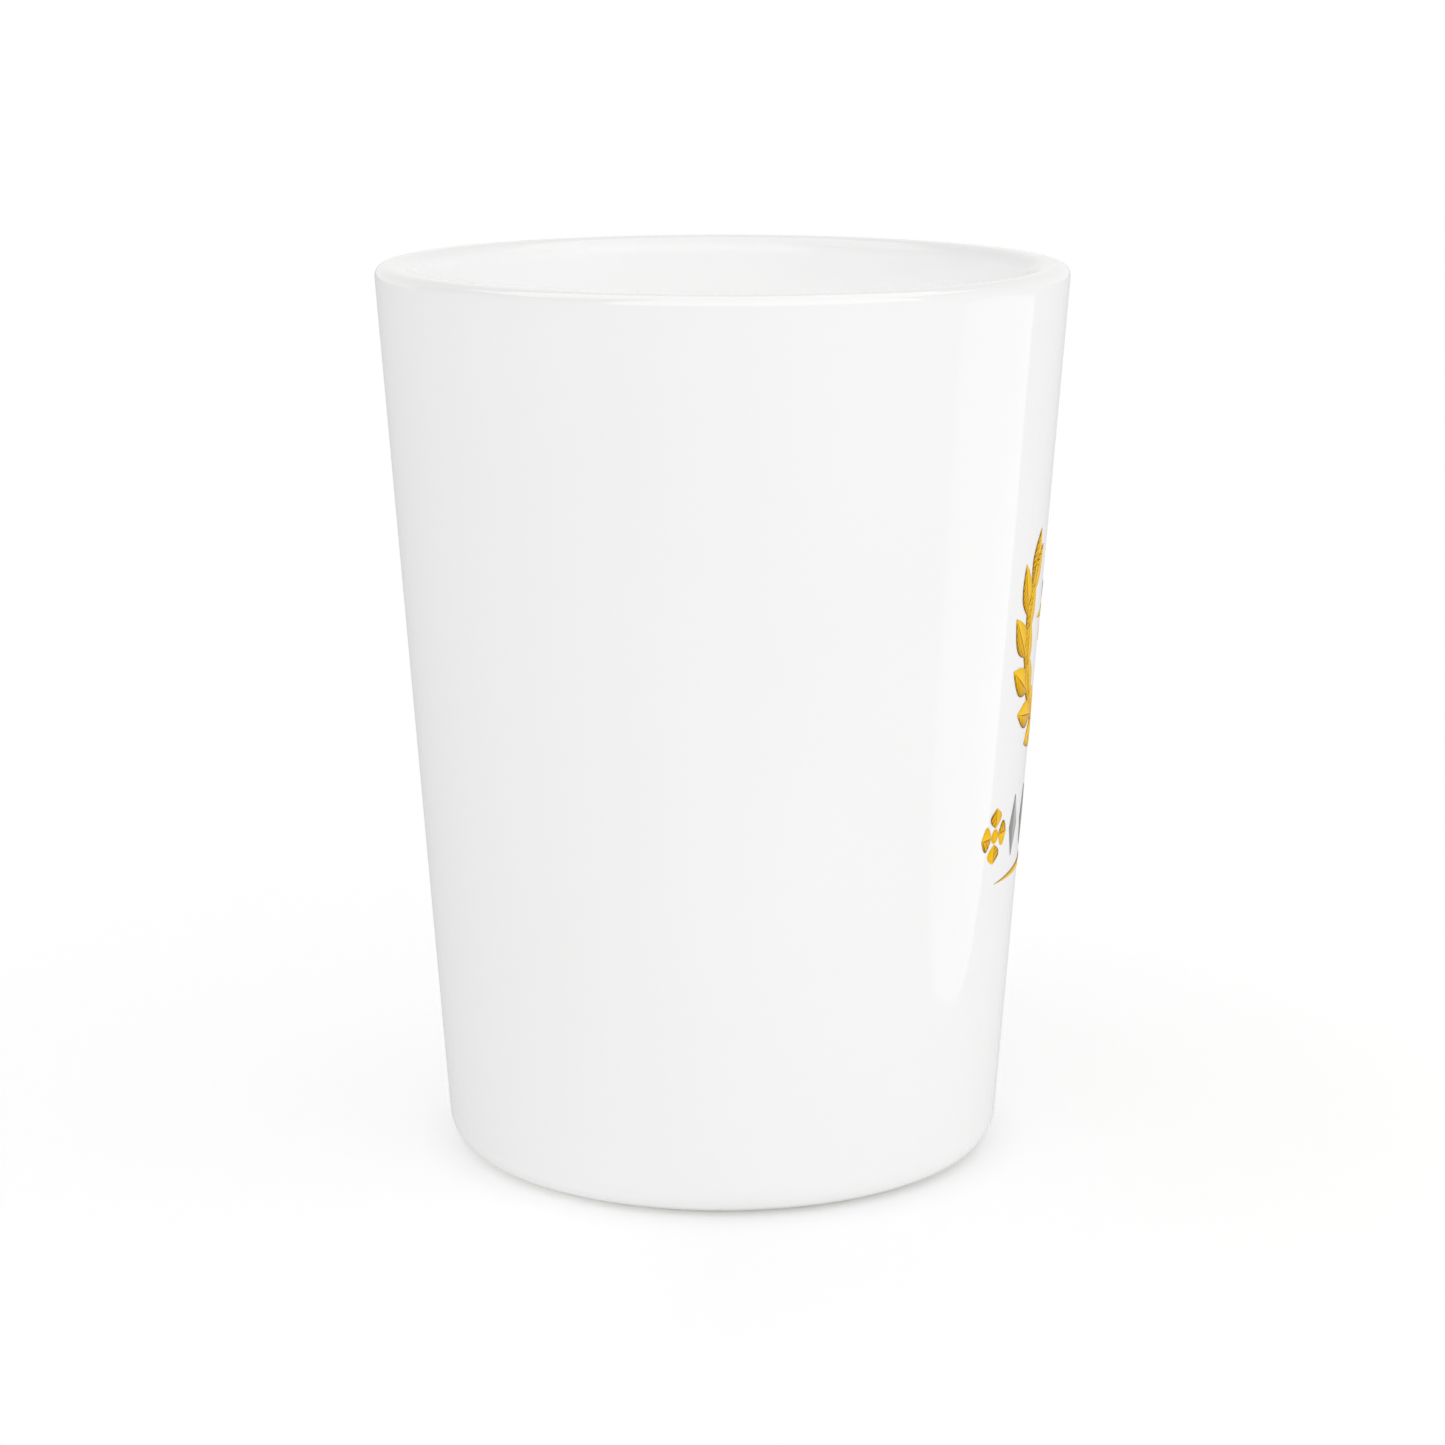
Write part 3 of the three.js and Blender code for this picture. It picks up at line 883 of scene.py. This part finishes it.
HALF_FLOOR = 6.0
FLOOR_DROP = 0.01 * MM
FLOOR_GLOW = 0.28
corners = [(x * HALF_FLOOR, y * HALF_FLOOR, -FLOOR_DROP) for x, y in ((-1, -1), (1, -1), (1, 1), (-1, 1))]
floor = stage_piece("studio_floor", corners, [(0, 1, 2, 3)], (0.85, 0.85, 0.85, 1), 0.9, FLOOR_GLOW)
floor.visible_glossy = False

# Painted shadow: the floor's glow is turned down on the cup's bright side, fading out 60 mm from the axis,
# and turned down more close to the foot, fading out 4.5 mm past it.
WIDE_PAINTED_SHADOW = 0.068
FOOT_PAINTED_SHADOW = 0.045
TO_BRIGHT_SIDE = (-0.3, -0.95, 0)
foot = base_radius - base_round
tree = floor.data.materials[0].node_tree
flat, away = from_the_axis(tree, object_place(tree))
towards = add(tree, "ShaderNodeVectorMath", {0: flat, 1: TO_BRIGHT_SIDE}, operation="DOT_PRODUCT")
bright_side = remap(tree, calc(tree, "DIVIDE", towards.outputs["Value"], away), -0.3, 0.3, 0.0, 1.0)
painted_wide_shadow = calc(tree, "MULTIPLY", bright_side, remap(tree, away, foot, 60 * MM, WIDE_PAINTED_SHADOW, 0.0))
painted_foot_shadow = remap(tree, away, foot + 1.8 * MM, foot + 4.5 * MM, FOOT_PAINTED_SHADOW, 0.0)
# The floor's glow, less the painted shadow.
glow = calc(tree, "SUBTRACT", FLOOR_GLOW, calc(tree, "ADD", painted_wide_shadow, painted_foot_shadow))
set_inputs(tree, tree.nodes["Principled BSDF"], {"Emission Strength": glow})
print(f"floor glow {FLOOR_GLOW}, less by {WIDE_PAINTED_SHADOW} on the bright side and by {FOOT_PAINTED_SHADOW} at the foot")

# %% [markdown]
# ## Soft screens of light
# Glossy glaze shows the shape of whatever lights it, so the lamps are modelled as a photographer sets
# them: curved screens of diffusing cloth. One hangs to the side and draws the long upright highlight
# along the wall. The wall leans outwards and is seen from above, so what it mirrors lies lower than
# the foot, and this screen hangs below the table's top. That works because reflections skip the
# floor. The others stand in front above the camera and behind the cup, and a flat cloth hangs overhead
# between them, so that the round of the lip never mirrors a dark gap. Directions are given round the
# cup from the camera, towards the right of the view.

# %% Screens
def hang_cloth(name, vertices, faces, glow):
    """A glowing cloth that only reflections see."""
    piece = stage_piece(name, vertices, faces, (0, 0, 0, 1), 1.0, glow)
    piece.visible_camera = False
    piece.visible_diffuse = False
    heights = [vertex[2] for vertex in vertices]
    print(f"{name}: glow {glow}, from {min(heights):.2f} to {max(heights):.2f} m above the table")


def falls(share, bend):
    """How far a rounded edge has fallen, from 0 at its middle to 1 at its end."""
    return 1 - (1 - abs(share) ** bend) ** (1 / bend)


def screen(name, middle, half_width, low, high, distance, glow, corner=0.0, tip=0.0, shoulder=0.0,
           steps=96):
    """Part of a cylinder round the cup. corner is how high its rounded lower edge reaches at the sides,
    tip is where along its width it hangs lowest, from -1 to 1, and shoulder is how far its upper edge
    falls towards its start."""
    vertices = []
    for step in range(steps + 1):
        share = 2 * step / steps - 1
        angle = math.radians(middle + half_width * share)
        side = Vector((-math.cos(angle), -math.sin(angle), 0)) * distance
        from_tip = (share - tip) / (1 - tip if share > tip else 1 + tip)
        bottom = low + corner * falls(from_tip, 2.4)
        top = high - shoulder * falls((1 - share) / 2, 5.0)
        vertices += [side + Vector((0, 0, bottom)), side + Vector((0, 0, top))]
    faces = [(2 * step, 2 * step + 1, 2 * step + 3, 2 * step + 2) for step in range(steps)]
    hang_cloth(name, vertices, faces, glow)


screen("side_screen", middle=102.8, half_width=19.5, low=-0.221, high=-0.013, distance=0.6, glow=1.5,
       corner=0.098, tip=-0.45, shoulder=0.03)
screen("front_screen", middle=15, half_width=54, low=0.3, high=4.0, distance=1.0, glow=2.8)
screen("back_screen", middle=180, half_width=60, low=0.06, high=1.3, distance=1.0, glow=1.05)
CLOTH_FRONT, CLOTH_BACK, CLOTH_SIDE, CLOTH_HEIGHT = -0.32, 1.0, 1.3, 1.3
cloth = [(CLOTH_FRONT, -CLOTH_SIDE, CLOTH_HEIGHT), (CLOTH_BACK, -CLOTH_SIDE, CLOTH_HEIGHT),
         (CLOTH_BACK, CLOTH_SIDE, CLOTH_HEIGHT), (CLOTH_FRONT, CLOTH_SIDE, CLOTH_HEIGHT)]
hang_cloth("top_cloth", cloth, [(0, 1, 2, 3)], glow=2.6)

# %% [markdown]
# ## A glow inside the bowl
# A white bowl catches light from everywhere above it. A small soft lamp inside the bowl, which itself
# stays unseen, stands for the lamp over a product table and keeps the inside from going grey.

# %% Lamp in the bowl
lamp_data = bpy.data.lights.new("bowl_lamp", "POINT")
lamp_data.shadow_soft_size = 12 * MM
lamp_data.energy = 0.0049
lamp = bpy.data.objects.new("bowl_lamp", lamp_data)
bpy.context.scene.collection.objects.link(lamp)
lamp.location = (0, -6 * MM, height - 16 * MM)
lamp.visible_camera = False
lamp.visible_glossy = False
print(f"bowl_lamp: {lamp_data.energy:.4f} W, {lamp.location.z / MM:.0f} mm above the table")

# %% [markdown]
# ## The room
# Everything else is an even white room, a little brighter in front and to the right. The camera sees
# it as pure white, and everything on the cup is lit by the slightly uneven version.

# %% World
world = bpy.data.worlds.new("white_studio")
bpy.context.scene.world = world
world.use_nodes = True
tree = world.node_tree
tree.nodes.clear()
ray = add(tree, "ShaderNodeLightPath").outputs["Is Camera Ray"]
direction = add(tree, "ShaderNodeTexCoord").outputs["Generated"]
towards = add(tree, "ShaderNodeVectorMath", {0: direction, 1: (-0.707, -0.707, 0)}, operation="DOT_PRODUCT")
glow = remap(tree, towards.outputs["Value"], -1.0, 1.0, 0.65, 1.10)
seen = add(tree, "ShaderNodeBackground", {"Color": (1, 1, 1, 1), "Strength": 1.0})
lit = add(tree, "ShaderNodeBackground", {"Color": (1, 1, 1, 1), "Strength": glow})
mixed = add(tree, "ShaderNodeMixShader", {0: ray, 1: lit.outputs[0], 2: seen.outputs[0]})
add(tree, "ShaderNodeOutputWorld", {"Surface": mixed.outputs[0]})
tell(world.name, tree)

# %% [markdown]
# ## The camera
# A long lens from a quarter of a metre, a little above the lip and looking down at it, so that the
# mouth shows as a thin ellipse. The view looks along the cup's side, with the print at the right.

# %% Camera
camera_data = bpy.data.cameras.new("camera")
camera_data.sensor_width = 36.0
camera_data.lens = 91.45
camera_data.clip_end = 50.0
camera = bpy.data.objects.new("camera", camera_data)
bpy.context.scene.collection.objects.link(camera)
LOOKS_DOWN = math.radians(12.27)
camera.location = (-243.7 * MM, 0, 81.84 * MM)
camera.rotation_euler = (QUARTER - LOOKS_DOWN, 0, -QUARTER)
bpy.context.scene.camera = camera
bpy.context.scene.view_settings.view_transform = "Standard"
print(f"camera: {camera_data.lens:.2f} mm lens, {camera.location.length / MM:.0f} mm from the foot")
